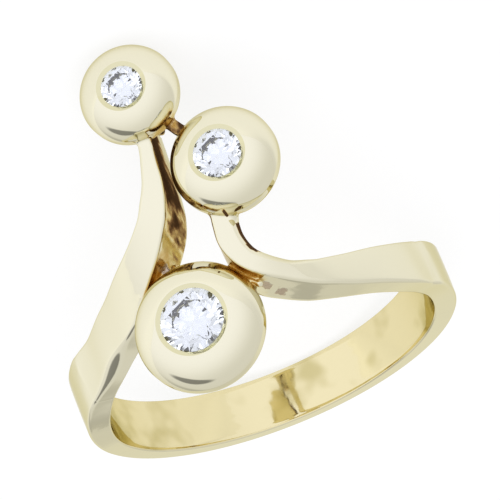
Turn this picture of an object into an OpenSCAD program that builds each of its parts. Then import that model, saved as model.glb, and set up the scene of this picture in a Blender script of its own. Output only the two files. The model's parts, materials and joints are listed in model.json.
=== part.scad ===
// Bypass ring in yellow gold with three round buttons, each set with one brilliant.
// The ring is drawn as it is worn: the finger runs along Y and the head of the
// ring is up. Left and right are as seen from the front, which is the side of +Y,
// so left is towards +X. At the end the ring is turned onto its back edge, as it
// lies by itself, with the origin under the middle of the whole ring.

/* [Finger hole] */
// Diameter of the finger hole
finger_d = 17; // [15:0.5:21]

/* [Band] */
// Width of the band along the finger, at its sides
band_w = 3; // [2.4:0.1:4]
// Thickness of the band, at its sides
band_t = 1.2; // [0.9:0.1:1.8]
// Width of the band at the bottom, where it is narrowest
bottom_w = 2.8; // [2.2:0.1:4]
// Thickness of the band at the bottom, where it is thinnest
bottom_t = 0.85; // [0.6:0.05:1.6]
// Rounding of the outer edges of the band and the arms
edge_r = 0.2; // [0.1:0.05:0.3]

/* [Left arm] */
// How far the left arm reaches back from the middle of the band
left_reach = 8.6; // [7:0.1:11]
// How far the top of the left arm rises above the band
left_rise = 2.8; // [2:0.1:4]

/* [Right arm] */
// How far the right arm reaches back from the middle of the band
right_reach = 3.8; // [3:0.1:5]
// How far the right arm bows to the front on its way up
right_bow = 1.2; // [0.6:0.1:1.6]
// How far the top of the right arm rises above the band
right_rise = 2.2; // [1.6:0.1:3.2]

/* [Small button] */
// Diameter of the small button
small_d = 4.9; // [4.4:0.1:5.6]
// Diameter of its stone
small_stone_d = 2.15; // [1.6:0.05:2.6]

/* [Medium button] */
// Diameter of the medium button
medium_d = 5.35; // [4.8:0.05:6.2]
// Diameter of its stone
medium_stone_d = 2.5; // [2:0.05:3]

/* [Large button] */
// Diameter of the large button
large_d = 6.4; // [6:0.1:7.4]
// Diameter of its stone
large_stone_d = 3.25; // [2.6:0.05:3.8]
// How far its middle stands in front of the middle of the band
large_fore = 1.8; // [1.4:0.1:2.6]
// How far its middle stands to the left of the middle of the ring
large_left = 0.8; // [0.2:0.1:1.2]
// How far its widest line lies above the band
large_rise = 1.2; // [0.8:0.1:1.8]

/* [Buttons] */
// Height of the domed top over the widest line
dome_h = 1.3; // [1:0.05:1.6]
// Height of the straight skirt under the widest line
skirt_h = 0.4; // [0.3:0.05:0.8]
// Radius of the rounded underside below the skirt
under_r = 0.6; // [0.4:0.05:0.9]
// Width of the bevel between the dome and the stone
bevel_w = 0.18; // [0.12:0.02:0.3]

/* [Stones] */
// Gap between a stone and its seat
stone_gap = 0.03; // [0.02:0.01:0.06]

/* [Solder] */
// Width of the bar between the small and the medium button
bar_w = 0.6; // [0.4:0.05:0.9]
// Width of the webs that join the large button to the two arms
web_w = 1.7; // [1.2:0.1:2.4]

/* [Hidden] */
$fn = 96;

hole_r = finger_d / 2;
band_r = hole_r + band_t;
bottom_r = hole_r + bottom_t;
// The strip starts a little inside the finger hole, which is then bored clean.
bore_sink = 0.3;
bore_l = 60;
bore_facets = 180;

// Rows of sections along the arms. ANGLE is in degrees from the top of the ring.
// FORE and BACK are shares of the arm's bow and reach, WIDTH of the band's width,
// RISE and LIFT shares of the arm's rise, for its top and for its underside.
ANGLE = 0;
FORE = 1;
BACK = 2;
WIDTH = 3;
RISE = 4;
LIFT = 5;
left_rows = [
    [-2.0, 0, 1.000, 0.20, 1.00, 0.10],
    [-1.2, 0, 0.825, 0.21, 1.00, 0],
    [-0.4, 0, 0.720, 0.25, 0.99, 0],
    [ 0.5, 0, 0.615, 0.31, 0.98, 0],
    [ 2.0, 0, 0.520, 0.38, 0.96, 0],
    [ 4.9, 0, 0.400, 0.45, 0.90, 0.10],
    [11.8, 0, 0.270, 0.60, 0.66, 0.18],
    [23.7, 0, 0.155, 0.80, 0.25, 0.05],
    [35.0, 0, 0.105, 0.83, 0.02, 0],
    [45.5, 0, 0.056, 0.87, -0.04, 0],
    [55.0, 0, 0.036, 0.90, -0.01, 0],
    [58.0, 0, 0.032, 0.92, 0, 0],
    [70.0, 0, 0.012, 0.97, 0, 0],
];
right_rows = [
    [105, 0.05, 0, 0.94, 0, 0],
    [ 90, 0.21, 0, 0.85, 0, 0],
    [ 78, 0.44, 0, 0.785, 0, 0],
    [ 75, 0.48, 0, 0.78, -0.01, 0],
    [ 64, 0.68, 0, 0.73, -0.04, 0],
    [ 52, 0.83, 0, 0.65, 0.02, 0],
    [ 41.4, 0.95, 0, 0.56, 0.14, 0],
    [ 32, 0.98, 0, 0.46, 0.36, 0],
    [ 27, 0.88, 0, 0.42, 0.50, 0],
    [ 22, 0.68, 0, 0.37, 0.65, 0],
    [ 16.5, 0.28, 0, 0.38, 0.85, 0],
    [ 13, 0, 0.08, 0.37, 0.95, 0],
    [ 11.3, 0, 0.32, 0.38, 1, 0],
    [ 11.5, 0, 0.57, 0.38, 1, 0.10],
    [ 12.2, 0, 0.74, 0.42, 1, 0.20],
    [ 12.8, 0, 1.00, 0.44, 1, 0.30],
];

// The band between the arms grows thinner and narrower towards the bottom, 180
// degrees from the top. Its steps are set so that a flat lies in the middle there.
steps_between = 3;
band_from = 70;
band_to = 255;
band_step = 15;
steps_from_bottom = 6;
first_step = 180 - band_step / steps_between / 2 - steps_from_bottom * band_step;
function bottom_share(a) = sin(180 * (a - band_from) / (band_to - band_from));
function towards(side, bottom, a) = side + (bottom - side) * bottom_share(a);
function band_section(a) =
    [a, 0, towards(band_w, bottom_w, a), towards(band_r, bottom_r, a), hole_r - bore_sink];

// A section in millimetres: its angle round the ring, counted from the top over
// the left side, its place along the finger, its width, top and underside radius.
function arm_section(row, angle, bow, reach, rise) = [
    angle,
    row[FORE] * bow - row[BACK] * reach,
    row[WIDTH] * band_w,
    band_r + row[RISE] * rise,
    hole_r - bore_sink + row[LIFT] * rise,
];
path = concat(
    [for (row = left_rows) arm_section(row, row[ANGLE], 0, left_reach, left_rise)],
    [for (a = [first_step : band_step : band_to - band_step]) band_section(a)],
    [for (row = right_rows)
        arm_section(row, 360 - row[ANGLE], right_bow, right_reach, right_rise)]
);

// A smooth curve through the sections, with extra ones in between.
function pick(i) = path[max(0, min(len(path) - 1, i))];
function blend(a, b, c, d, t) = 0.5 * (2 * b + (c - a) * t
    + (2 * a - 5 * b + 4 * c - d) * t * t + (3 * b - a - 3 * c + d) * t * t * t);
function section_at(k) =
    let (i = floor(k / steps_between), t = k / steps_between - i)
    blend(pick(i - 1), pick(i), pick(i + 1), pick(i + 2), t);
last_section = (len(path) - 1) * steps_between;

// One ring of points round the strip. The width is laid across the strip's run,
// and each outer edge is rounded with one flat and two corners.
function mid_r(s) = (s[3] + s[4]) / 2;
function arc_len(degrees, r) = degrees * PI / 180 * r;
function run_of(k) =
    let (a = section_at(max(0, k - 1)), b = section_at(min(last_section, k + 1)),
         d = [arc_len(b[0] - a[0], (mid_r(a) + mid_r(b)) / 2), b[1] - a[1]])
    d / norm(d);
function outline(w, top, low) =
    let (e = min(edge_r, w / 3), c = e * (1 - cos(45)))
    [[-w / 2, low], [-w / 2, top - e], [-w / 2 + c, top - c], [-w / 2 + e, top],
     [w / 2 - e, top], [w / 2 - c, top - c], [w / 2, top - e], [w / 2, low]];
function round_the_finger(angle, y, r) = [r * sin(angle), y, r * cos(angle)];
function section_points(k) =
    let (s = section_at(k), run = run_of(k))
    [for (p = outline(s[2], s[3], s[4])) round_the_finger(
        s[0] - p[0] * run[1] / mid_r(s) * 180 / PI, s[1] + p[0] * run[0], p[1])];
strip_points = [for (k = [0 : last_section]) each section_points(k)];

// The band and both arms: one strip from under one button to under the other.
module strip() {
    n = 8;
    sides = [for (k = [0 : last_section - 1]) for (j = [0 : n - 1])
        let (a = k * n + j, b = k * n + (j + 1) % n) each [[a, b, b + n], [a, b + n, a + n]]];
    first_end = [[for (j = [n - 1 : -1 : 0]) j]];
    last_end = [[for (j = [0 : n - 1]) last_section * n + j]];
    polyhedron(strip_points, concat(sides, first_end, last_end), convexity = 8);
}

// The middle of the strip's top at a section.
function top_at(k) = let (s = section_at(k)) round_the_finger(s[0], s[1], s[3]);

// Where the buttons sit. The small and the medium one cover the ends of the arms:
// their middles lie to the right of the arm's end and behind it by these shares of
// their radius, and their widest line lies above the arm's top by these heights.
small_over = [0.03, 0.51];
small_lift = 0.2;
medium_over = [0.32, 0.42];
medium_lift = 0.4;
function on_end(k, over, d, lift) = top_at(k) + [-over[0] * d / 2, -over[1] * d / 2, lift];
small_at = on_end(0, small_over, small_d, small_lift);
medium_at = on_end(last_section, medium_over, medium_d, medium_lift);
large_at = [large_left, large_fore, band_r + large_rise];

// The dome of a button is an arc from its widest line to the bevel round the stone.
// Its centre lies under the widest line by a share of the diameter.
drop_share = 0.05;
bevel_d = bevel_w * 0.8;
function rim_r(stone_d) = stone_d / 2 + bevel_w;
function dome_drop(d) = drop_share * d;
function dome_x(d, stone_d) =
    (d / 2 + rim_r(stone_d) - dome_h * (dome_h + 2 * dome_drop(d)) / (d / 2 - rim_r(stone_d))) / 2;
function dome_r(d, stone_d) = norm([d / 2 - dome_x(d, stone_d), dome_drop(d)]);

// A domed top, a straight skirt and a rounded underside.
module button(d, stone_d) {
    r = d / 2;
    arc_x = dome_x(d, stone_d);
    rotate_extrude() {
        square([arc_x, dome_h]);
        intersection() {
            translate([arc_x, -dome_drop(d)]) circle(dome_r(d, stone_d));
            square([r, 2 * dome_h]);
        }
        translate([0, -skirt_h]) square([r, skirt_h]);
        translate([0, -skirt_h - under_r]) square([r - under_r, under_r]);
        intersection() {
            translate([r - under_r, -skirt_h]) circle(under_r);
            translate([0, -skirt_h - under_r]) square([r, under_r]);
        }
    }
}

// Proportions of a brilliant, as shares of its diameter.
table_share = 0.57;
crown_share = 0.15;
girdle_share = 0.03;
pavilion_share = 0.43;
star_share = 0.55;
main_share = 0.25;
girdle_z = dome_h - bevel_d;

// The hole that takes a stone: a bevel, a short wall at the girdle and a cone.
module seat(stone_d) {
    r = stone_d / 2 + stone_gap;
    wall_low = girdle_z - girdle_share * stone_d - stone_gap;
    above = 1;
    rotate_extrude() polygon([
        [0, dome_h + above], [rim_r(stone_d) + above * bevel_w / bevel_d, dome_h + above],
        [r, girdle_z], [r, wall_low], [0, wall_low - pavilion_share * stone_d],
    ]);
}

// A round brilliant, its girdle's top edge at the origin's height, with a table,
// 8 stars, 8 kites and 16 upper facets above, 16 lower facets and 8 mains below.
module brilliant(d) {
    r = d / 2;
    table_r = table_share * r;
    crown = crown_share * d;
    girdle = girdle_share * d;
    deep = pavilion_share * d;
    half_step = 22.5;
    lean = cos(half_step);
    star_r = table_r * lean + (r - table_r * lean) * star_share;
    star_z = crown * (r - star_r * lean) / (r - table_r);
    main_r = main_share * r;
    main_z = -girdle - deep * (1 - main_r * lean / r);
    function ring(n, radius, z, turn) = [for (i = [0 : n - 1])
        [radius * cos(i * 360 / n + turn), radius * sin(i * 360 / n + turn), z]];
    points = concat(ring(8, table_r, crown, 0), ring(8, star_r, star_z, half_step),
        ring(16, r, 0, 0), ring(16, r, -girdle, 0), ring(8, main_r, main_z, half_step),
        [[0, 0, -girdle - deep]]);
    // Where each ring of points starts: table, stars, girdle top, girdle low, mains, tip.
    T = 0;
    S = 8;
    G = 16;
    L = 32;
    M = 48;
    tip = 56;
    table = [[for (i = [7 : -1 : 0]) T + i]];
    crown_facets = [for (i = [0 : 7])
        let (next = (i + 1) % 8, before = (i + 7) % 8, g = 2 * i, g1 = g + 1, g2 = (g + 2) % 16)
        each [[T + i, T + next, S + i], [T + i, S + i, G + g, S + before],
              [S + i, G + g1, G + g], [S + i, G + g2, G + g1]]];
    girdle_facets = [for (i = [0 : 15]) [G + i, G + (i + 1) % 16, L + (i + 1) % 16, L + i]];
    pavilion_facets = [for (i = [0 : 7])
        let (before = (i + 7) % 8, g = 2 * i, g1 = g + 1, g2 = (g + 2) % 16)
        each [[L + g, L + g1, M + i], [L + g1, L + g2, M + i], [L + g, M + i, tip, M + before]]];
    polyhedron(points, concat(table, crown_facets, girdle_facets, pavilion_facets));
}

// A flat-sided bar from one point to another, with its top face at a given height.
module bar(from, to, width, top, height) {
    run = to - from;
    translate([from[0], from[1], top - height])
        rotate([0, 0, atan2(run[1], run[0])])
            translate([0, -width / 2, 0]) cube([norm([run[0], run[1]]), width, height]);
}
// The rows of the arms, counted from their ends, where the large button's webs meet them.
left_web_row = 6;
right_web_row = 4.2;
left_web_to = top_at(left_web_row * steps_between);
right_web_to = top_at(last_section - right_web_row * steps_between);

// All the gold, soldered into one piece.
module ring_body() {
    color("gold") difference() {
        union() {
            strip();
            translate(small_at) button(small_d, small_stone_d);
            translate(medium_at) button(medium_d, medium_stone_d);
            translate(large_at) button(large_d, large_stone_d);
            bar(small_at, medium_at, bar_w, medium_at[2], bar_w);
            bar(large_at, left_web_to, web_w, large_at[2] - skirt_h, under_r);
            bar(large_at, right_web_to, web_w, large_at[2] - skirt_h / 2, under_r);
        }
        rotate([90, 0, 0]) cylinder(r = hole_r, h = bore_l, center = true, $fn = bore_facets);
        translate(small_at) seat(small_stone_d);
        translate(medium_at) seat(medium_stone_d);
        translate(large_at) seat(large_stone_d);
    }
}
module stone(at, stone_d) {
    color("aliceblue") translate(at + [0, 0, girdle_z]) brilliant(stone_d);
}

// How the ring lies by itself: on the back edge of the band's bottom and on the
// rounded underside of the small button. Both are seen here along X, as [y, z].
edge_at = [-bottom_w / 2, edge_r - bottom_r];
under_at = [small_at[1] - small_d / 2 + under_r, small_at[2] - skirt_h];
lie_run = under_at - edge_at;
lie_angle = 180 - asin(under_r / norm(lie_run)) - atan2(lie_run[1], lie_run[0]);
function turned(p) = [p[0], p[1] * cos(lie_angle) - p[2] * sin(lie_angle),
    p[1] * sin(lie_angle) + p[2] * cos(lie_angle)];
turned_strip = [for (p = strip_points) turned(p)];

// How far a button's dome reaches to the front once the ring lies.
function front_of(at, d, stone_d) = turned(at)[1] - dome_r(d, stone_d)
    - dome_x(d, stone_d) * cos(lie_angle) + dome_drop(d) * sin(lie_angle);
front_y = min(front_of(small_at, small_d, small_stone_d),
    front_of(medium_at, medium_d, medium_stone_d), front_of(large_at, large_d, large_stone_d));
back_y = max([for (p = turned_strip) p[1]]);
left_x = min([for (p = turned_strip) p[0]]);
right_x = max([for (p = turned_strip) p[0]]);
floor_z = min([for (p = turned_strip) p[2]]);
module laid_down() {
    translate([-(left_x + right_x) / 2, -(front_y + back_y) / 2, -floor_z])
        rotate([lie_angle, 0, 0]) children();
}

laid_down() ring_body();
laid_down() stone(large_at, large_stone_d);  // stone_large
laid_down() stone(medium_at, medium_stone_d);  // stone_medium
laid_down() stone(small_at, small_stone_d);  // stone_small
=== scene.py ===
# %% [markdown]
# # A three stone ring in polished gold
# The ring is one soldered piece of yellow gold: a band, two arms that pass each other,
# and three round buttons, each with a brilliant let into its top. The CAD model is the
# frame. It says where everything is and how large, and this script gives the gold its
# smooth form, its polish, its wear and some painted shade, and the stones their fire.

# %% Load the frame
import json
import math

import bmesh
import bpy
from mathutils import Matrix, Vector, bvhtree, kdtree, noise


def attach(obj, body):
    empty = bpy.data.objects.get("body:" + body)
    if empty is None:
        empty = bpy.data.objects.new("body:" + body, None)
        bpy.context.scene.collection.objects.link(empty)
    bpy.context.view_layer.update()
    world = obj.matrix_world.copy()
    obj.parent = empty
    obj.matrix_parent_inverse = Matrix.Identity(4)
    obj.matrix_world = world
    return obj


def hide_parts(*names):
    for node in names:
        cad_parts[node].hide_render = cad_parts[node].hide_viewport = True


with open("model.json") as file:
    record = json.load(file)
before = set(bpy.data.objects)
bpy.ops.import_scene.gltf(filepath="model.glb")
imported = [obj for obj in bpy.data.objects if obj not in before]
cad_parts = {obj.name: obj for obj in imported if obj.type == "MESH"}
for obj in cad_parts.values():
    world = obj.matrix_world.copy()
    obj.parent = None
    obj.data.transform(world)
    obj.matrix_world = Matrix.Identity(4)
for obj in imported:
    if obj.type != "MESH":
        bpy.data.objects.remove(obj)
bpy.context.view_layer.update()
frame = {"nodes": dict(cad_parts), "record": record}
print("CAD nodes:", ", ".join(sorted(frame["nodes"])))

# %% [markdown]
# ## Two places for one ring
# A goldsmith thinks of a ring as it is worn: the finger runs along Y, and the head is
# up. This ring lies on its side instead, as it would rest by itself. Modelling the
# lying ring directly would make every number crooked, so all of it is made as worn, in
# millimetres round the middle of the finger hole, and one matrix lays it down at the
# end. The record's finger hole gives that matrix. Left is towards +X, as seen from the
# front, the side of +Y.

# %% From the worn ring to the lying ring
MM = 0.001
hole = frame["record"]["mounts"][0]
hole_axis = Vector(hole["axis"])
lie_angle = math.atan2(hole_axis.z, hole_axis.y)
TURN = Matrix.Translation(Vector(hole["pos_m"])) @ Matrix.Rotation(lie_angle, 4, "X")
LIE = TURN @ Matrix.Scale(MM, 4)
print(f"laid down by {math.degrees(lie_angle):.1f} degrees")

# %% [markdown]
# ## The camera
# The photograph looks at the head from the front, from far away, with the ring turned
# a little in the picture. The camera is placed in the worn frame by three turns, like
# a hand that tips a ring under a lamp: first the roll, then the tip, then the side turn.
# A long lens keeps the buttons round, as it does in the photograph.

# %% Make the camera
view_side = math.radians(-9)
view_tip = math.radians(-20.6)
view_roll = math.radians(158)
view_offset = Vector((-0.66, 4.6, 300))
sensor_width, lens = 36, 437.4
look = (Matrix.Rotation(view_side, 4, "Y") @ Matrix.Rotation(view_tip, 4, "X")
        @ Matrix.Rotation(view_roll, 4, "Z"))
camera_data = bpy.data.cameras.new("Camera")
camera_data.sensor_width = sensor_width
camera_data.lens = lens
camera_data.clip_start, camera_data.clip_end = 0.01, 10
camera = bpy.data.objects.new("Camera", camera_data)
camera.location = LIE @ look @ view_offset
camera.rotation_euler = (TURN @ look).to_euler()
bpy.context.collection.objects.link(camera)
bpy.context.scene.camera = camera
print("camera at", [round(c, 3) for c in camera.location])

# %% [markdown]
# ## A few words for node trees
# Floor, room, gold and stones all get node trees. Written out, each node takes four
# lines, so a few short helpers say it in one. Starting a tree gives a helper that adds
# a node and one that links two sockets. The others use the pair that was made last.


# %% Start a node tree
def empty_tree(tree):
    """Empties a node tree, and gives a helper that adds a node and one that links."""
    tree.nodes.clear()

    def add_node(kind, **settings):
        node = tree.nodes.new(kind)
        for key, value in settings.items():
            if key in node.inputs:
                node.inputs[key].default_value = value
            else:
                setattr(node, key, value)
        return node
    return add_node, tree.links.new


def new_material(name):
    """A material with an empty tree, and the two helpers for it."""
    material = bpy.data.materials.new(name)
    material.use_nodes = True
    return material, *empty_tree(material.node_tree)


def surface(shader):
    """Makes a shader the material's surface."""
    out = add("ShaderNodeOutputMaterial")
    link(shader.outputs[0], out.inputs["Surface"])


# %% Work with values and directions
def mapped(value, low, high, to_low=0.0, to_high=1.0, kind="SMOOTHSTEP"):
    """A value's way from low to high, as a value from to_low to to_high."""
    node = add("ShaderNodeMapRange", interpolation_type=kind, **{
        "From Min": low, "From Max": high, "To Min": to_low, "To Max": to_high})
    link(value, node.inputs["Value"])
    return node.outputs["Result"]


def combined(a, b, how="ADD"):
    """Two values combined, each of them a socket or a number."""
    node = add("ShaderNodeMath", operation=how)
    for socket, value in zip(node.inputs, (a, b)):
        if isinstance(value, (int, float)):
            socket.default_value = value
        else:
            link(value, socket)
    return node.outputs[0]


def measured(vector, how, *fixed):
    """A vector operation on a socket and on fixed vectors: its number or its vector."""
    node = add("ShaderNodeVectorMath", operation=how)
    link(vector, node.inputs[0])
    for socket, value in zip(node.inputs[1:], fixed):
        socket.default_value = value
    return node.outputs["Value" if how in ("DOT_PRODUCT", "LENGTH") else "Vector"]


def mixed(share, a, b):
    """Two colours mixed by a share, each of them a socket or a fixed colour."""
    node = add("ShaderNodeMix", data_type="RGBA")
    link(share, node.inputs["Factor"])
    for socket, colour in ((node.inputs["A"], a), (node.inputs["B"], b)):
        if isinstance(colour, tuple):
            socket.default_value = colour
        else:
            link(colour, socket)
    return node.outputs["Result"]


# %% [markdown]
# ## The table
# Polished gold shows the room more than itself, so the room is made first. The ring
# lies on white acrylic that is lit from below, and so it throws hardly a shadow. Far
# from the ring the table is brighter at the front of the room, the camera's side, and
# dimmer at the back. That hardly shows in the picture, but the gold mirrors it, and it
# gives each curved face a light and a dark side. A lamp under a glass table would do
# this too, at many times the cost of an emission.

# %% Make the floor
floor_size = 2.0
floor_mesh = bpy.data.meshes.new("floor")
bm = bmesh.new()
bmesh.ops.create_grid(bm, x_segments=1, y_segments=1, size=floor_size / 2)
bm.to_mesh(floor_mesh)
bm.free()
floor = bpy.data.objects.new("floor", floor_mesh)
bpy.context.collection.objects.link(floor)
print("floor:", floor_size, "m wide")

# %% Light the table
table_light = 0.72
dim_side, bright_side = 0.51, 0.8
to_bright_side = (0.5, -0.87, 0)
oval_stretch, oval_shift = (1.6, 1, 1), (0, -0.006, 0)
fade_from, fade_to = 0.015, 0.1
acrylic, add, link = new_material("lit_acrylic")
spot = add("ShaderNodeTexCoord").outputs["Object"]
sideways = measured(measured(spot, "NORMALIZE"), "DOT_PRODUCT", to_bright_side)
away = measured(measured(spot, "MULTIPLY_ADD", oval_stretch, oval_shift), "LENGTH")
glow = add("ShaderNodeMix", A=table_light)
link(mapped(away, fade_from, fade_to), glow.inputs["Factor"])
link(mapped(sideways, -0.8, 1.0, dim_side, bright_side), glow.inputs["B"])
acrylic_shader = add("ShaderNodeBsdfPrincipled", **{
    "Base Color": (0.3, 0.3, 0.3, 1), "Roughness": 0.9, "Specular IOR Level": 0.0,
    "Emission Color": (1, 1, 1, 1)})
link(glow.outputs["Result"], acrylic_shader.inputs["Emission Strength"])
surface(acrylic_shader)
floor_mesh.materials.append(acrylic)
print("table lit at", table_light)

# %% [markdown]
# ## The white tent
# A jeweller photographs gold in a white tent, so the world is white almost all round.
# Two soft darker ovals draw the form: a slanted one high up behind on the right, where
# the tent is open, and a long low one behind. Towards the front the tent is brighter
# and a little bluer. Ovals in the world are cheaper than a tent of real cloth, and
# they stay where they are when the camera moves.


# %% Darken an oval of the tent
def fall_off(azimuth, elevation, long, short, turn, softness, share):
    """A darker oval in the tent, as a share of the light that is left inside it.

    Long and short are its half sizes in degrees, turn tips the long side up, and
    softness is the part of its size over which the edge fades. Azimuth 0 is the front
    of the room, towards -Y, and 90 is the right, towards +X.
    """
    a, e = math.radians(azimuth), math.radians(elevation)
    middle = Vector((math.sin(a) * math.cos(e), -math.cos(a) * math.cos(e), math.sin(e)))
    level = Vector((math.cos(a), math.sin(a), 0))
    rise = middle.cross(level)
    t = math.radians(turn)
    along = level * math.cos(t) + rise * math.sin(t)
    across = rise * math.cos(t) - level * math.sin(t)

    def towards(axis, size):
        return measured(direction, "DOT_PRODUCT", axis / math.sin(math.radians(size)))

    offset = add("ShaderNodeCombineXYZ")
    link(towards(along, long), offset.inputs["X"])
    link(towards(across, short), offset.inputs["Y"])
    far = measured(offset.outputs["Vector"], "LENGTH")
    fade = mapped(far, 1 - softness, 1 + softness, share, 1)
    return combined(fade, combined(towards(middle, 90), 0, "LESS_THAN"), "MAXIMUM")


# %% Light the white tent
tent_front = (0.17, -0.98, 0.09)
back_light, front_light = 0.8, 1.12
white, cool_white = (1, 1, 1, 1), (0.99, 1.0, 1.08, 1)
world = bpy.data.worlds.new("tent")
world.use_nodes = True
bpy.context.scene.world = world
bpy.context.scene.view_settings.view_transform = "Standard"
add, link = empty_tree(world.node_tree)
direction = add("ShaderNodeTexCoord").outputs["Generated"]
front_share = mapped(measured(direction, "DOT_PRODUCT", tent_front), -0.6, 1.0)
brightness = mapped(front_share, 0, 1, back_light, front_light, "LINEAR")
opening = fall_off(azimuth=120, elevation=41, long=26, short=10, turn=36,
                   softness=0.22, share=0.32)
low_shade = fall_off(azimuth=150, elevation=4, long=32, short=7, turn=0,
                     softness=0.5, share=0.72)
shade = combined(opening, low_shade, "MULTIPLY")
tent_light = add("ShaderNodeBackground")
link(mixed(front_share, white, cool_white), tent_light.inputs["Color"])
link(combined(shade, brightness, "MULTIPLY"), tent_light.inputs["Strength"])
tent_out = add("ShaderNodeOutputWorld")
link(tent_light.outputs[0], tent_out.inputs["Surface"])
print("tent:", len(world.node_tree.nodes), "nodes")

# %% [markdown]
# ## The softbox
# One large lamp overhead gives the light a direction. The gold doesn't mirror it,
# because the domes in the photograph have no bright disk on them.

# %% Hang the softbox
softbox_size, softbox_power = 0.5, 0.5
softbox_data = bpy.data.lights.new("softbox", "AREA")
softbox_data.shape = "DISK"
softbox_data.size = softbox_size
softbox_data.energy = softbox_power
softbox = bpy.data.objects.new("softbox", softbox_data)
softbox.location = (0, -0.05, 0.5)
softbox.visible_glossy = False
bpy.context.collection.objects.link(softbox)
print("softbox:", softbox_size, "m wide,", softbox.location.z, "m up")

# %% [markdown]
# ## The strip: band and arms
# On the bench the band and both arms are one flat strip of gold, forged wider and
# thinner, bent round a mandrel and swept up to the buttons. A sweep does the same: one
# outline is extruded from station to station. Each row below is a station: its angle
# from the top, its place to the front or back, its width, and the height of its top
# and of its underside, as shares of the sizes named first.

# %% Sizes of the strip
hole_r = 8.5
band_w, band_t = 3.0, 1.2
bottom_w, bottom_t = 2.8, 0.85
left_reach, left_rise = 8.6, 2.8
right_reach, right_bow, right_rise = 3.8, 1.2, 2.2
band_r, bottom_r = hole_r + band_t, hole_r + bottom_t

left_rows = [
    (-2.0, 0, 1.000, 0.20, 1.00, 0.10),
    (-1.2, 0, 0.825, 0.21, 1.00, 0),
    (-0.4, 0, 0.720, 0.25, 0.99, 0),
    (0.5, 0, 0.615, 0.31, 0.98, 0),
    (2.0, 0, 0.520, 0.38, 0.96, 0),
    (4.9, 0, 0.400, 0.45, 0.90, 0.10),
    (11.8, 0, 0.270, 0.60, 0.66, 0.18),
    (23.7, 0, 0.155, 0.80, 0.25, 0.05),
    (35.0, 0, 0.105, 0.83, 0.02, 0),
    (45.5, 0, 0.056, 0.87, -0.04, 0),
    (55.0, 0, 0.036, 0.90, -0.01, 0),
    (58.0, 0, 0.032, 0.92, 0, 0),
    (70.0, 0, 0.012, 0.97, 0, 0),
]
right_rows = [
    (105, 0.05, 0, 0.94, 0, 0),
    (90, 0.21, 0, 0.85, 0, 0),
    (78, 0.44, 0, 0.785, 0, 0),
    (75, 0.48, 0, 0.78, -0.01, 0),
    (64, 0.68, 0, 0.73, -0.04, 0),
    (52, 0.83, 0, 0.65, 0.02, 0),
    (41.4, 0.95, 0, 0.56, 0.14, 0),
    (32, 0.98, 0, 0.46, 0.36, 0),
    (27, 0.88, 0, 0.42, 0.50, 0),
    (22, 0.68, 0, 0.37, 0.65, 0),
    (16.5, 0.28, 0, 0.38, 0.85, 0),
    (13, 0, 0.08, 0.37, 0.95, 0),
    (11.3, 0, 0.32, 0.38, 1, 0),
    (11.5, 0, 0.57, 0.38, 1, 0.10),
    (12.2, 0, 0.74, 0.42, 1, 0.20),
    (12.8, 0, 1.00, 0.44, 1, 0.30),
]
band_from, band_to = 70, 255
first_angle, band_step, band_count = 87.5, 15, 11
print("band:", band_w, "to", bottom_w, "mm wide on a hole of", 2 * hole_r, "mm")


# %% Set the stations
def station(angle, fore, back, width, rise, lift, bow, reach, height):
    """Angle, place along the finger, width, top radius and underside radius."""
    return (angle, fore * bow - back * reach, width * band_w,
            band_r + rise * height, hole_r + lift * height)


def band_station(angle):
    """A station of the plain band, thinner and narrower towards the bottom."""
    share = math.sin(math.pi * (angle - band_from) / (band_to - band_from))
    return (angle, 0, band_w + (bottom_w - band_w) * share,
            band_r + (bottom_r - band_r) * share, hole_r)


band_angles = [first_angle + i * band_step for i in range(band_count)]
stations = ([station(*row, 0, left_reach, left_rise) for row in left_rows]
            + [band_station(angle) for angle in band_angles]
            + [station(360 - row[0], *row[1:], right_bow, right_reach, right_rise)
               for row in right_rows])
last = len(stations) - 1
print(len(stations), "stations along the strip")

# %% [markdown]
# A few stations describe the strip, and a smooth curve through them gives the ones in
# between. The same curve runs through the CAD's stations, so the two surfaces agree.


# %% A smooth curve through the stations
def at(u):
    """The station at u, between the neighbours on a Catmull-Rom curve."""
    i = min(int(u), last - 1)
    t = u - i
    a, b, c, d = (stations[min(max(i + n, 0), last)] for n in (-1, 0, 1, 2))
    return [0.5 * (2 * q + (r - p) * t + (2 * p - 5 * q + 4 * r - s) * t * t
                   + (3 * q - p - 3 * r + s) * t ** 3)
            for p, q, r, s in zip(a, b, c, d)]


def run_at(u, reach=1 / 3):
    """The direction of the strip at u, as a share round the finger and one along it."""
    a, b = at(max(u - reach, 0)), at(min(u + reach, last))
    radius = (a[3] + a[4] + b[3] + b[4]) / 4
    run = Vector((math.radians(b[0] - a[0]) * radius, b[1] - a[1]))
    return run.normalized()


def round_the_finger(angle, y, r):
    """The point at an angle from the top, a place along the finger and a radius."""
    a = math.radians(angle)
    return Vector((r * math.sin(a), y, r * math.cos(a)))


def top_at(u):
    """The middle of the strip's top at u."""
    angle, y, _, top, _ = at(u)
    return round_the_finger(angle, y, top)


print("the strip ends at", [round(c, 2) for c in top_at(0)], [round(c, 2) for c in top_at(last)])

# %% [markdown]
# The outline across the strip has no knife edge anywhere: polishing rounds the outer
# edges most and breaks the inner ones. Extra points close to each rounding keep the
# flats flat when the shading is smoothed. In two places the file took an edge down to
# a chamfer: on the outside of the right arm's bend and at the front of the left
# shoulder. The outline makes these, because a bevel on the finished mesh would need a
# width for every edge.

# %% Rounded and chamfered corners
outer_round, inner_round = 0.16, 0.08
bend_cut, shoulder_cut = 0.4, 0.5
bend_flat, shoulder_flat = 0.85, 0.3
crown = 0.03
flat_shares = (0.08, 0.3, 0.7, 0.92)


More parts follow.
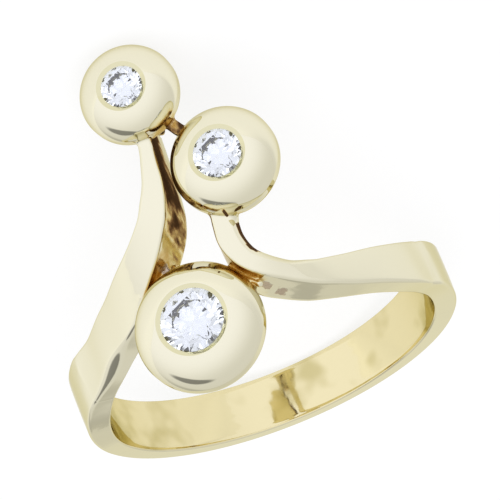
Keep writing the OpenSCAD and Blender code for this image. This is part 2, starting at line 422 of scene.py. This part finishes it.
def quarter(across, height, radius, start, steps, cut=0.0):
    """Points of a quarter circle, clockwise from the start angle.

    With cut the circle is flattened towards its chord: 1 is a straight chamfer.
    """
    points = []
    ends = [math.radians(start), math.radians(start - 90)]
    for i in range(steps + 1):
        a, share = math.radians(start - 90 * i / steps), i / steps
        points.append(tuple(
            middle + radius * ((1 - cut) * turn(a)
                               + cut * ((1 - share) * turn(ends[0]) + share * turn(ends[1])))
            for middle, turn in ((across, math.cos), (height, math.sin))))
    return points


def flat(a, b, shares):
    """Points on a straight line from a to b, at shares of its length."""
    return [(a[0] + (b[0] - a[0]) * s, a[1] + (b[1] - a[1]) * s) for s in shares]


def outline(width, top, low, front_cut, rear_cut):
    """One loop of points (across, height), with the front edge at positive across.

    The cuts say how far an outer edge has gone from round, 0, to a wide chamfer, 1.
    """
    half = width / 2
    front_round = min(outer_round + (shoulder_cut - outer_round) * front_cut, width / 3)
    rear_round = min(outer_round + (bend_cut - outer_round) * rear_cut, width / 3)
    corners = [
        quarter(-half + inner_round, low + inner_round, inner_round, 270, 3),
        quarter(-half + rear_round, top - rear_round, rear_round, 180, 8,
                bend_flat * rear_cut),
        quarter(half - front_round, top - front_round, front_round, 90, 8,
                shoulder_flat * front_cut),
        quarter(half - inner_round, low + inner_round, inner_round, 0, 3),
    ]
    loop = []
    for i, corner in enumerate(corners):
        following = corners[(i + 1) % 4]
        loop += corner + flat(corner[-1], following[0], flat_shares)
    return [(x, z + crown * (1 - (x / half) ** 2) * (z > (top + low) / 2))
            for x, z in loop]


print("outline:", len(outline(band_w, band_r, hole_r, 0, 0)), "points")

# %% Where the chamfers are
bend_chamfer, shoulder_chamfer = (342, 18), (43, 17)


def bump(value, middle, reach):
    """1 at the middle, falling smoothly to 0 at the reach."""
    t = max(0, 1 - abs(value - middle) / reach)
    return t * t * (3 - 2 * t)


def rear_cut_at(u):
    """The right arm has a chamfer on the outside of its bend."""
    return bump(at(u)[0], *bend_chamfer)


def front_cut_at(u):
    """The left shoulder has one towards the front."""
    return bump(at(u)[0], *shoulder_chamfer)


print("chamfers at", bend_chamfer[0], "and", shoulder_chamfer[0], "degrees")

# %% [markdown]
# Each arm leaves the band with a faint crease across its shoulder, where the file
# stopped. The top sinks a little on the arm's side of it. The numbers of a crease are
# its angle in the middle of the band, how much it slants along the finger, how many
# degrees the sunk part reaches, and how deep it is.

# %% Lay an outline across the strip
creases = [(58.2, 1.15, 20, 0.13), (-78.6, -1.7, 15, 0.11)]
full_depth = 27 / 4


def sunk(angle, y):
    """How far the top lies lower at a place, just inside a shoulder's crease."""
    depth = 0
    for middle, slant, reach, deep in creases:
        side = 1 if middle > 0 else -1
        t = 1 - (middle + slant * y - (angle if side > 0 else angle - 360)) * side / reach
        if 0 < t < 1:
            depth += deep * full_depth * t * t * (1 - t)
    return depth


def station_points(u):
    """The outline at u, laid across the strip's run round the finger."""
    angle, y, width, top, low = at(u)
    run = run_at(u)
    middle = (top + low) / 2
    points = []
    for x, z in outline(width, top, low, front_cut_at(u), rear_cut_at(u)):
        turned, along = angle - math.degrees(x * run.y / middle), y + x * run.x
        share = max(0, (z - middle) / (top - middle))
        points.append(round_the_finger(turned, along, z - sunk(turned, along) * share))
    return points


print(len(creases), "creases, up to", creases[0][3], "mm deep")

# %% Sweep the strip
steps_between = 6


def next_loop(bm, loop, points):
    """Extrudes a closed loop of vertices once and puts the new ones at the points."""
    edges = [bm.edges.get((loop[i - 1], loop[i])) for i in range(len(loop))]
    new = set(v for v in bmesh.ops.extrude_edge_only(bm, edges=edges)["geom"]
              if isinstance(v, bmesh.types.BMVert))
    moved = [next(e.other_vert(v) for e in v.link_edges if e.other_vert(v) in new)
             for v in loop]
    for v, point in zip(moved, points):
        v.co = point
    return moved


def sweep(loops):
    """A closed tube through several loops of points, with flat ends."""
    bm = bmesh.new()
    bmesh.ops.create_circle(bm, segments=len(loops[0]), radius=1)
    bm.verts.ensure_lookup_table()
    loop = list(bm.verts)
    for v, point in zip(loop, loops[0]):
        v.co = point
    first = list(loop)
    for points in loops[1:]:
        loop = next_loop(bm, loop, points)
    for end in (first, loop):
        bmesh.ops.contextual_create(bm, geom=end)
    bmesh.ops.recalc_face_normals(bm, faces=bm.faces)
    return bm


def as_object(bm, name):
    """A mesh object in worn millimetres, out of a bmesh that is then freed."""
    mesh = bpy.data.meshes.new(name)
    bm.to_mesh(mesh)
    bm.free()
    made = bpy.data.objects.new(name, mesh)
    bpy.context.collection.objects.link(made)
    return made


strip = as_object(sweep([station_points(k / steps_between)
                         for k in range(last * steps_between + 1)]), "strip")
print("strip:", len(strip.data.polygons), "faces")

# %% [markdown]
# ## The buttons
# Each button is a turned part, so it is spun from half its outline: a flat underside,
# a rounding, a short straight skirt, a crisp line where the button is widest, and a
# dome. The dome ends in a cut bevel that frames the stone, and a blind hole takes the
# stone's cone. A sphere cut flat would have neither the crisp line nor the bevel.

# %% Sizes of the buttons
dome_h, skirt_h, under_r, bevel_w = 1.3, 0.4, 0.6, 0.18
bevel_d = 0.8 * bevel_w
stone_gap = 0.03
lip_over, lip_gap, crown_slope = 0.05, 0.006, 0.7
drop_share = 0.05
girdle_share, pavilion_share = 0.03, 0.43
near_crease = 0.025
under_steps, dome_steps, spin_steps = 14, 26, 128
buttons = {"small": (4.9, 2.15), "medium": (5.35, 2.5), "large": (6.4, 3.25)}


def on_end(u, right, behind, d, lift):
    """The middle of a button that covers the end of an arm."""
    return top_at(u) + Vector((-right * d / 2, -behind * d / 2, lift))


middles = {
    "small": on_end(0, 0.03, 0.51, buttons["small"][0], 0.2),
    "medium": on_end(last, 0.32, 0.42, buttons["medium"][0], 0.4),
    "large": Vector((0.8, 1.8, band_r + 1.2)),
}
large, medium, small = middles["large"], middles["medium"], middles["small"]
print("small and medium button", round((small - medium).length, 2), "mm apart")


# %% Spin the buttons
def half_outline(d, stone_d):
    """Points (radius, height) from the underside's middle over the dome to the seat."""
    r, rim = d / 2, stone_d / 2 + bevel_w
    drop = drop_share * d
    arc_x = (r + rim - dome_h * (dome_h + 2 * drop) / (r - rim)) / 2
    arc_r = math.hypot(r - arc_x, drop)
    first = math.degrees(math.asin(drop / arc_r))
    last_angle = math.degrees(math.atan2(dome_h + drop, rim - arc_x))
    low = -skirt_h - under_r
    points = [(0, low), (0.4 * r, low), (0.8 * (r - under_r), low)]
    points += reversed(quarter(r - under_r, -skirt_h, under_r, 0, under_steps))
    points += [(r, -0.7 * skirt_h), (r, -0.3 * skirt_h), (r, -near_crease), (r, 0)]
    dome_shares = [0.015] + [i / dome_steps for i in range(1, dome_steps)] + [0.985, 1]
    points += [(arc_x + arc_r * math.cos(a), -drop + arc_r * math.sin(a))
               for a in (math.radians(first + (last_angle - first) * s) for s in dome_shares)]
    seat_r = stone_d / 2 + stone_gap
    girdle_z = dome_h - bevel_d
    wall_low = girdle_z - girdle_share * stone_d - stone_gap
    tip = wall_low - pavilion_share * stone_d
    lip = (stone_d / 2 - lip_over, girdle_z + lip_over * crown_slope + lip_gap)
    points += flat((rim, dome_h), lip, (0.1, 0.5, 0.93, 1))
    points += [(seat_r, girdle_z + lip_gap), (seat_r, wall_low)]
    points += flat((seat_r, wall_low), (0, tip), (0.05, 0.5, 1))
    return points


def button(name):
    """Spins one button and moves it to its place."""
    bm = bmesh.new()
    profile = [bm.verts.new((x, 0, z)) for x, z in half_outline(*buttons[name])]
    for a, b in zip(profile, profile[1:]):
        bm.edges.new((a, b))
    bmesh.ops.spin(bm, geom=bm.verts[:] + bm.edges[:], cent=(0, 0, 0), axis=(0, 0, 1),
                   angle=math.tau, steps=spin_steps, use_merge=True)
    bmesh.ops.remove_doubles(bm, verts=bm.verts, dist=1e-4)
    bmesh.ops.recalc_face_normals(bm, faces=bm.faces)
    bmesh.ops.translate(bm, verts=bm.verts, vec=middles[name])
    return as_object(bm, "button_" + name)


parts = [button(name) for name in buttons]
print("buttons:", [len(part.data.polygons) for part in parts], "faces")

# %% [markdown]
# ## The solder
# A square bar joins the small and the medium button. Two webs of solder fill the gaps
# between the large button and the arms. All three are cubes with lightly broken edges,
# cut into slices along their length so that the union leaves no very long faces.

# %% Bar and webs
bar_w, web_w = 0.6, 1.7
bar_slices = 12
flush = 0.001
corner_angle = 1.0


def bar(name, start, end, width, top, height, edge=0.04):
    """A bar with lightly broken edges between two points, its top at a given height."""
    run = (end - start).xy
    bm = bmesh.new()
    bmesh.ops.create_cube(bm, size=1)
    bmesh.ops.scale(bm, verts=bm.verts, vec=(run.length, width, height))
    long_edges = [e for e in bm.edges if abs(e.verts[0].co.x - e.verts[1].co.x) > flush]
    bmesh.ops.subdivide_edges(bm, edges=long_edges, cuts=bar_slices, use_grid_fill=True)
    sharp = [e for e in bm.edges if e.calc_face_angle() > corner_angle]
    bmesh.ops.bevel(bm, geom=sharp, offset=edge, offset_type="OFFSET",
                    affect="EDGES", segments=2, profile=0.5, material=-1)
    turn = Matrix.Rotation(math.atan2(run.y, run.x), 4, "Z")
    middle = ((start + end) / 2).xy
    place = Matrix.Translation((middle.x, middle.y, top - height / 2)) @ turn
    bmesh.ops.transform(bm, verts=bm.verts, matrix=place)
    return as_object(bm, name)


def part_way(start, end, share):
    """A point on the way from start to end."""
    return start + (end - start) * share


left_web_at, right_web_at = 6, last - 4.2
left_end, right_end = top_at(left_web_at), top_at(right_web_at)
parts += [
    bar("bar", part_way(small, medium, 0.2), part_way(small, medium, 0.8), bar_w,
        medium.z, bar_w),
    bar("left_web", part_way(large, left_end, 0.45), left_end, web_w,
        large.z - skirt_h, under_r),
    bar("right_web", part_way(large, right_end, 0.45), right_end, web_w,
        large.z - skirt_h / 2, under_r),
]
print("bar:", bar_w, "mm, webs:", web_w, "mm wide")

# %% [markdown]
# ## What the torch left
# The solder isn't all smooth. A thin bead of it stands beside the large button on
# either side, and small lumps sit where a grain too much was used. Beads are short
# sweeps and lumps are balls pushed out of shape by noise. A bump in the material would
# be quicker, but wouldn't show on the rim. Their places are kept, because half of the
# smoothing later on goes round them.

# %% Beads and lumps
bead_sides, bead_steps, thin_end = 10, 8, 0.25
coarse, fine = 1.8, 4.5
mark_places = []


def bead(name, points, radius):
    """A thin rounded rod through a few points, thinner at its ends."""
    loops = []
    steps = (len(points) - 1) * bead_steps
    for i in range(steps + 1):
        j = min(i // bead_steps, len(points) - 2)
        a, b = Vector(points[j]), Vector(points[j + 1])
        run = (b - a).normalized()
        side = run.cross(Vector((0, 0, 1))).normalized()
        up = side.cross(run)
        middle = a.lerp(b, i / bead_steps - j)
        swell = math.sin(math.pi * (0.04 + 0.92 * i / steps)) ** 0.5
        r = radius * (thin_end + (1 - thin_end) * swell)
        turns = [k * math.tau / bead_sides for k in range(bead_sides)]
        loops.append([middle + r * (side * math.cos(t) + up * math.sin(t)) for t in turns])
        mark_places.append(middle)
    return as_object(sweep(loops), name)


def lump(name, place, radius, rough=0.35):
    """A ball pushed out of shape by noise."""
    bm = bmesh.new()
    bmesh.ops.create_icosphere(bm, subdivisions=4, radius=1)
    place = Vector(place)
    for v in bm.verts:
        push = (noise.noise(v.co * coarse + place * 3)
                + 0.5 * noise.noise(v.co * fine + place))
        v.co = place + v.co * radius * (1 + rough * push)
    mark_places.append(place)
    return as_object(bm, name)


parts += [
    bead("right_bead", [(-1.6, -0.4, 10.7), (-1.8, 0.05, 10.76), (-2.15, 0.6, 10.76),
                        (-2.68, 1.1, 10.7)], 0.12),
    bead("left_bead", [(1.5, -1.85, 10.5), (2.25, -1.4, 10.5), (3.1, -0.9, 10.45)], 0.1),
    lump("left_lump", (1.5, -1.9, 10.42), 0.26),
    lump("left_lump_low", (0.95, -1.6, 10.2), 0.24),
    lump("right_lump", (-2.62, 1.02, 10.62), 0.2),
    lump("bar_lump", (-1.15, -7.65, 12.0), 0.22),
]
print(len(parts), "parts to solder to the strip")

# %% [markdown]
# ## One piece of gold
# The pieces overlap, as they do on the bench before the torch. A Boolean union makes
# one skin of them. Everything is joined at once, while the parts are still plain: a
# union with a skin that has been cut fine takes very long.


# %% Join the gold
def joined(base, others, name):
    """The union of several closed meshes, as one new mesh."""
    for other in others:
        union = base.modifiers.new(other.name, "BOOLEAN")
        union.operation, union.solver, union.object = "UNION", "MANIFOLD", other
    graph = bpy.context.evaluated_depsgraph_get()
    mesh = bpy.data.meshes.new_from_object(base.evaluated_get(graph))
    mesh.name = name
    for used in [base] + others:
        bpy.data.objects.remove(used)
    return mesh


gold_mesh = joined(strip, parts, "ring_gold")
print("gold:", len(gold_mesh.polygons), "faces")

# %% [markdown]
# ## Solder runs into every corner
# Where two pieces meet, melted solder leaves a small hollow curve instead of a sharp
# inner corner. A bevel would have to follow a ragged Boolean seam. Smoothing is easier
# and looks more like solder: the faces near a seam are cut finer, and their corners
# are then smoothed a few times, most of all next to the seam.

# %% Find the seams
seam_angle = math.radians(20)
seam_step = 0.1
seat_margin = 0.35
mark_reach = 0.26


def tree_of(points):
    """A search tree that finds the nearest of many points quickly."""
    tree = kdtree.KDTree(len(points))
    for i, point in enumerate(points):
        tree.insert(point, i)
    tree.balance()
    return tree


marks = tree_of(mark_places)


def near_a_stone(point):
    """Whether a point lies in or close to a stone's seat."""
    return any((point - middles[name]).xy.length < stone_d / 2 + seat_margin
               and abs((point - middles[name]).z) < dome_h + seat_margin
               for name, (d, stone_d) in buttons.items())


def seam_points(bm):
    """Points along the inner corners that the union has made."""
    bm.normal_update()
    points = []
    for edge in bm.edges:
        if (edge.is_manifold and edge.calc_face_angle_signed(0) < -seam_angle
                and not near_a_stone(edge.verts[0].co)):
            a, b = (v.co for v in edge.verts)
            count = 1 + int((b - a).length / seam_step)
            points += [a.lerp(b, i / count) for i in range(count + 1)]
    return points


def near_seam(bm, tree, reach, marks_too):
    """The vertices near a seam, but not near a stone or, without marks_too, on a mark."""
    return [v for v in bm.verts if tree.find(v.co)[2] < reach
            and not near_a_stone(v.co)
            and (marks_too or marks.find(v.co)[2] >= mark_reach)]


print("seams turn inwards by more than", round(math.degrees(seam_angle)), "degrees")

# %% Cut the skin finer
weld_reach, sliver = 0.003, 0.002
solder_reach, fine_edge, fine_cuts = 0.55, 0.11, 4
bm = bmesh.new()
bm.from_mesh(gold_mesh)
bmesh.ops.remove_doubles(bm, verts=bm.verts, dist=weld_reach)
bmesh.ops.dissolve_degenerate(bm, edges=bm.edges, dist=sliver)
points = seam_points(bm)
seams = tree_of(points)
for cut in range(fine_cuts):
    close = set(near_seam(bm, seams, solder_reach, marks_too=True))
    faces = [f for f in bm.faces if any(v in close for v in f.verts)]
    bmesh.ops.triangulate(bm, faces=faces)
    long_edges = [e for e in bm.edges if e.calc_length() > fine_edge
                  and (e.verts[0] in close or e.verts[1] in close)]
    print("cut", cut, "-", len(long_edges), "long edges near", len(points), "seam points")
    bmesh.ops.subdivide_edges(bm, edges=long_edges, cuts=1)
    bmesh.ops.dissolve_degenerate(bm, edges=bm.edges, dist=sliver)
bmesh.ops.triangulate(bm, faces=[f for f in bm.faces if len(f.verts) > 4])

# %% Smooth the solder
smooth_rounds = [(0.5, 4, True), (0.4, 6, False), (0.3, 8, False), (0.25, 4, True)]
for reach, passes, marks_too in smooth_rounds:
    close = near_seam(bm, seams, reach, marks_too)
    for _ in range(passes):
        bmesh.ops.smooth_vert(bm, verts=close, factor=0.5, use_axis_x=True,
                              use_axis_y=True, use_axis_z=True)
    print("smoothed", len(close), "vertices within", reach, "mm of a seam")

# %% [markdown]
# ## A casting pit
# A gas bubble left one small pit on top of the right arm, close to the medium button.
# The skin is already fine there, so its vertices are simply pushed down.

# %% Sink the pit
pit, pit_reach, pit_depth = Vector((-2.58, -2.43)), 0.11, 0.12
lowest_pit = 11


def clamped(value):
    """A value, cut off at 0 and at 1."""
    return min(1, max(0, value))


def near(distance, reach, hardness=2.0):
    """1 close by and 0 from the reach on. The harder, the later it starts to fall."""
    return clamped(hardness * (1 - distance / reach))


def pit_share(point):
    """1 in the middle of the casting pit on the right arm, 0 away from it."""
    if point.z <= lowest_pit:
        return 0
    return near((point.xy - pit).length, pit_reach, hardness=1)


for v in bm.verts:
    v.co.z -= pit_depth * pit_share(v.co)
bmesh.ops.recalc_face_normals(bm, faces=bm.faces)
open_edges = [e for e in bm.edges if not e.is_manifold]
bm.to_mesh(gold_mesh)
bm.free()
print("gold with solder:", len(gold_mesh.polygons), "faces,", len(open_edges), "open edges")

# %% [markdown]
# ## Where the polishing wheel can't reach, and where shade falls
# The wheel brightens what it touches. Between the arms, under the buttons and beside
# the solder the gold keeps an amber tone, and the same amber paints the shade that falls
# in these hollows. The script measures how hidden a place is: from each vertex it
# looks out in a few directions and counts how many are blocked nearby. The share is
# kept on the mesh as an attribute, and the material reads it. Painting it by hand would
# need a texture and a flattened skin.

# %% Measure how hidden each place is
look_out, look_reach = 18, 4.2
clear_of_skin = 0.02


def hidden_share(mesh):
    """For each vertex, the share of directions over it that the ring itself blocks."""
    tree = bvhtree.BVHTree.FromPolygons(
        [v.co for v in mesh.vertices], [tuple(p.vertices) for p in mesh.polygons])
    golden = math.pi * (3 - math.sqrt(5))
    fan = []
    for i in range(look_out):
        up = math.sqrt((i + 0.5) / look_out)
        side = math.sqrt(1 - up * up)
        fan.append(Vector((side * math.cos(i * golden), side * math.sin(i * golden), up)))
    shares = []
    for vertex in mesh.vertices:
        turn = Vector((0, 0, 1)).rotation_difference(vertex.normal)
        start = vertex.co + vertex.normal * clear_of_skin
        blocked = 0
        for direction in fan:
            distance = tree.ray_cast(start, turn @ direction, look_reach)[3]
            if distance is not None:
                blocked += 1 - 0.5 * distance / look_reach
        shares.append(blocked / look_out)
    return shares


def keep(name, values):
    """Keeps one number per vertex on the gold, for its material to read."""
    layer = gold_mesh.attributes.new(name, "FLOAT", "POINT")
    layer.data.foreach_set("value", values)
    print(f"{name}: over 0.4 on {sum(v > 0.4 for v in values)} of {len(values)} vertices")


keep("hidden", hidden_share(gold_mesh))

# %% [markdown]
# ## Oxide and painted shade
# Heat leaves a brown oxide where no brush gets in, and the same brown paints shade: on the
# walls that face the narrow gap between the arms, oxide and painted shade; in the hollow of
# the right arm's bend, a painted dark reflection; round the bar and in the pit, painted shade.
# Each place is a few named points with a reach, found on the photograph.

# %% Measure the oxide and painted shade
# The walls that face the gap get oxide and painted shade, darkest at the top of the gap.
gap_top, gap_low = Vector((-1.5, -7.9, 11.8)), Vector((-1.1, -2.4, 10.1))
gap_reach, gap_hardness = 2.7, 2.5
gap_dark_at_top, gap_dark_lost = 1.2, 0.75
bend = [Vector((-2.86, -1.5, 11.2)), Vector((-2.98, -0.9, 11.1)), Vector((-3.2, -0.4, 11.0))]
bend_reach, bend_painted_reflection = 0.5, 0.9
# Round the bar and under its top the brown is painted shade.
bar_shade_middle = part_way(small, medium, 0.45)
bar_reach, bar_painted_shade, over_bar = 0.8, 0.62, 0.06


def gap_oxide_and_shade(vertex):
    """How dark a wall that faces the gap is painted: oxide and painted shade, fading towards the
    gap's low end.
    """
    gap = gap_low - gap_top
    share = clamped((vertex.co - gap_top).dot(gap) / gap.length_squared)
    way = gap_top.lerp(gap_low, share) - vertex.co
    facing = way.normalized().dot(vertex.normal)
    return (near(way.length, gap_reach, gap_hardness) * clamped(facing * 2.2 - 0.3)
            * min(1, gap_dark_at_top - gap_dark_lost * share))


def bar_share(point):
    """1 close round the bar and below its top, 0 away from it."""
    if point.z >= medium.z + over_bar:
        return 0
    return near((point.xy - bar_shade_middle.xy).length, bar_reach)


def oxide_and_painted_shade(vertex):
    """How brown a place is painted: oxide, painted shade and a painted dark reflection."""
    # In the bend's hollow the dark brown is a painted dark reflection.
    in_the_bend = min((vertex.co - point).length for point in bend) < bend_reach
    if in_the_bend and vertex.normal.x < -0.8:
        return bend_painted_reflection
    # In the casting pit the brown is painted shade.
    return max(gap_oxide_and_shade(vertex), bar_painted_shade * bar_share(vertex.co),
               clamped(3 * pit_share(vertex.co)))


keep("oxide_and_painted_shade", [oxide_and_painted_shade(v) for v in gold_mesh.vertices])

# %% [markdown]
# ## Bevels, inside and raw casting
# Three more finishes need a place. The bevels round the stones are cut bright and
# smooth. The inside of the band is rubbed by the finger. And beside the large button a
# few patches of the raw casting are left, too deep for any wheel.

# %% Measure the other finishes
rim_margin, dome_margin, seat_depth = 0.005, 0.003, 0.6
cast_patches = [((-2.65, 0.84, 9.91), 0.5), ((-2.9, 1.05, 9.4), 0.5),
                ((-3.22, 1.27, 8.95), 0.4), ((1.37, -1.7, 10.5), 0.35)]


def bevel_share(point):
    """1 on the cut bevels round the stones and in their seats, else 0."""
    for name, (d, stone_d) in buttons.items():
        out = (point - middles[name]).xy.length
        up = point.z - middles[name].z
        if out < stone_d / 2 + bevel_w - rim_margin and -seat_depth < up < dome_h - dome_margin:
            return 1.0
    return 0.0


def inside_share(vertex):
    """1 where the gold faces the finger."""
    out = Vector((vertex.co.x, 0, vertex.co.z)).normalized()
    return clamped(-2 * vertex.normal.dot(out) - 0.6)


def cast_share(point):
    """How much of the raw casting is left."""
    return max(near((point - Vector(place)).length, reach) for place, reach in cast_patches)


keep("bevel", [bevel_share(v.co) for v in gold_mesh.vertices])
keep("inside", [inside_share(v) for v in gold_mesh.vertices])
keep("cast", [cast_share(v.co) for v in gold_mesh.vertices])

# %% [markdown]
# ## Lay the ring down
# The skin is shaded smooth, apart from the edges that turn by more than 32 degrees,
# such as the rims of the stones' seats. Then the one matrix lays it down.

# %% Shade the skin and lay it down
sharp_angle = math.radians(32)
gold_mesh.polygons.foreach_set("use_smooth", [True] * len(gold_mesh.polygons))
gold_mesh.set_sharp_from_angle(angle=sharp_angle)
gold_mesh.transform(LIE)
gold = bpy.data.objects.new("ring_gold", gold_mesh)
bpy.context.collection.objects.link(gold)
print("gold:", [round(c / MM, 1) for c in gold.dimensions], "mm")

# %% [markdown]
# ## The gold's finish
# Gold of 14 carat is pale, and when it is polished it mostly shows what it mirrors. One
# shader gets a colour and a roughness for each state, from polish through amber to the
# brown of oxide and painted shade. Noise breaks the borders between them, so that no
# patch has a drawn edge. An image texture would do it too, but needs a picture and a
# flattened skin, and this way the finish follows the form.

# %% Helpers for the finish
polished, add, link = new_material("polished_gold")
on_the_gold = add("ShaderNodeTexCoord").outputs["Object"]


def noisy(size_mm, detail=3.0, stretch=(1, 1, 1)):
    """Noise with features of about this size on the metal."""
    mapping = add("ShaderNodeMapping")
    mapping.inputs["Scale"].default_value = stretch
    link(on_the_gold, mapping.inputs["Vector"])
    node = add("ShaderNodeTexNoise", **{"Scale": 1 / (size_mm * MM), "Detail": detail})
    link(mapping.outputs["Vector"], node.inputs["Vector"])
    return node.outputs["Fac"]


def swing(noise_value, width):
    """Noise moved to both sides of 0, and made this strong."""
    return combined(combined(noise_value, -0.5), width, "MULTIPLY")


def kept(name):
    """A number that was kept on the mesh."""
    return add("ShaderNodeAttribute", attribute_name=name).outputs["Fac"]


def ragged(name, swung, low, high):
    """A kept share with a ragged border, and none of it where the share is 0."""
    return combined(mapped(combined(kept(name), swung), low, high),
                    mapped(kept(name), 0.02, 0.2), "MULTIPLY")


# %% [markdown]
# Amber and the brown of oxide and painted shade are one row of colours, from bare gold
# to nearly black: the darker a place is to be, the farther along the row. A colour ramp
# is that row.

# %% Amber, oxide and painted shade
# The ramp's dark end is the near black of painted shade and oxide.
bare_gold, oxide_and_shade_black = (0.82, 0.782, 0.60, 1), (0.08, 0.042, 0.018, 1)
oxide_and_shade_colours = [(0.25, (0.78, 0.66, 0.38, 1)), (0.5, (0.62, 0.43, 0.17, 1)),
                (0.8, (0.27, 0.15, 0.06, 1))]
# Amber: partly the patina the wheel leaves in hollows, partly painted shade where the ring hides
# a place.
amber = mapped(combined(kept("hidden"), swing(noisy(0.9), 0.5)), 0.22, 0.6, 0, 0.5)
# The same brown is oxide and painted shade on the gap walls, painted shade round the bar and in
# the pit, and a painted dark reflection in the bend.
oxide_and_shade = ragged("oxide_and_painted_shade", swing(noisy(0.5, 4.0, (1.6, 0.35, 0.8)), 1.3), 0.1, 0.8)
brown = combined(amber, oxide_and_shade, "MAXIMUM")
brown_ramp = add("ShaderNodeValToRGB")
brown_ramp.color_ramp.elements[0].color = bare_gold
brown_ramp.color_ramp.elements[1].color = oxide_and_shade_black
for ramp_place, colour in oxide_and_shade_colours:
    brown_ramp.color_ramp.elements.new(ramp_place).color = colour
link(brown, brown_ramp.inputs["Fac"])
print("heat colours:", len(brown_ramp.color_ramp.elements))

# %% [markdown]
# The inside is a warmer yellow with duller clouds, the raw casting is a greyish brown,
# and the cut bevels are a little deeper in colour than the domes. Each is mixed over
# the last by its kept share.

# %% Rubbed inside, raw casting and bevels
rubbed_gold, dull_gold = (0.80, 0.71, 0.42, 1), (0.60, 0.52, 0.25, 1)
raw_casting, cut_gold = (0.55, 0.45, 0.36, 1), (0.72, 0.68, 0.44, 1)
rubbed = mixed(mapped(noisy(2.4, 2.0), 0.5, 0.72), rubbed_gold, dull_gold)
raw = ragged("cast", swing(noisy(0.4), 1.6), 0.3, 0.6)
coloured = mixed(kept("inside"), brown_ramp.outputs["Color"], rubbed)
coloured = mixed(raw, coloured, raw_casting)
coloured = mixed(kept("bevel"), coloured, cut_gold)
print("colour:", len(polished.node_tree.nodes), "nodes so far")

# %% [markdown]
# Oxide is not a metal, and painted shade must not mirror either. If they stayed metal,
# they would mirror the white tent where they are seen at a slant and look grey, so the
# metal fades out with the oxide and painted shade, and the plain gloss under it is
# turned off. Roughness grows with the brown, too.

# %% Metal and roughness
edge_tint = (0.74, 0.70, 0.5, 1)
gold_shader = add("ShaderNodeBsdfPrincipled", **{
    "Specular IOR Level": 0.0, "Specular Tint": edge_tint})
link(coloured, gold_shader.inputs["Base Color"])
link(mapped(oxide_and_shade, 0.3, 0.75, 1, 0), gold_shader.inputs["Metallic"])
handled = mapped(noisy(0.5), 0.4, 0.8, 0, 0.05)
roughness = combined(mapped(brown, 0, 1, 0.05, 0.34, "LINEAR"),
                     combined(handled, mapped(raw, 0, 1, 0, 0.2)))
link(roughness, gold_shader.inputs["Roughness"])
print("shader:", sum(socket.is_linked for socket in gold_shader.inputs), "linked sockets")

# %% [markdown]
# A hand polished face is never quite even, and a mirror shows it. Three bumps lie over
# each other: the slow waves of the wheel, dents in the brown places, and pits in the
# raw casting. They are hundredths of a millimetre, too small for the mesh.


# %% Waves, dents and pits
def bumped(height, distance_mm, strength, under=None):
    """A bump of this height in the surface, over another bump."""
    node = add("ShaderNodeBump", **{"Strength": strength, "Distance": distance_mm * MM})
    link(height, node.inputs["Height"])
    if under is not None:
        link(under, node.inputs["Normal"])
    return node.outputs["Normal"]


waves = bumped(noisy(1.6, 2.0), 0.012, 1.0)
dents = bumped(combined(noisy(0.35, 5.0), brown, "MULTIPLY"), 0.01, 0.25, waves)
pits = bumped(combined(noisy(0.22, 3.0), raw, "MULTIPLY"), 0.03, 0.5, dents)
link(pits, gold_shader.inputs["Normal"])
surface(gold_shader)
gold_mesh.materials.clear()
gold_mesh.materials.append(polished)
print("polished gold:", len(polished.node_tree.nodes), "nodes")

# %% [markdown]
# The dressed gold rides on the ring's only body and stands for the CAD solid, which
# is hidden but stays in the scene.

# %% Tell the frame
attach(gold, "root")
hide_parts("ring_body")
print(gold.name, "stands for ring_body")

# %% [markdown]
# ## The stones
# The CAD's brilliants have their facets already, so they stay and get a material. Fire
# comes from the light's path inside the stone: full transmission, the high index of
# diamond and no roughness at all. The colour is a very light blue, because the stones
# look cool beside the gold.

# %% Diamond material
diamond_white, diamond_index = (0.91, 0.95, 1.0, 1), 2.417
diamond, add, link = new_material("diamond")
surface(add("ShaderNodeBsdfPrincipled", **{
    "Base Color": diamond_white, "Roughness": 0.0, "IOR": diamond_index,
    "Transmission Weight": 1.0}))
for name in ("stone_large", "stone_medium", "stone_small"):
    stone = frame["nodes"][name]
    stone.data.materials.clear()
    stone.data.materials.append(diamond)
    print(name, "-", len(stone.data.polygons), "faces")
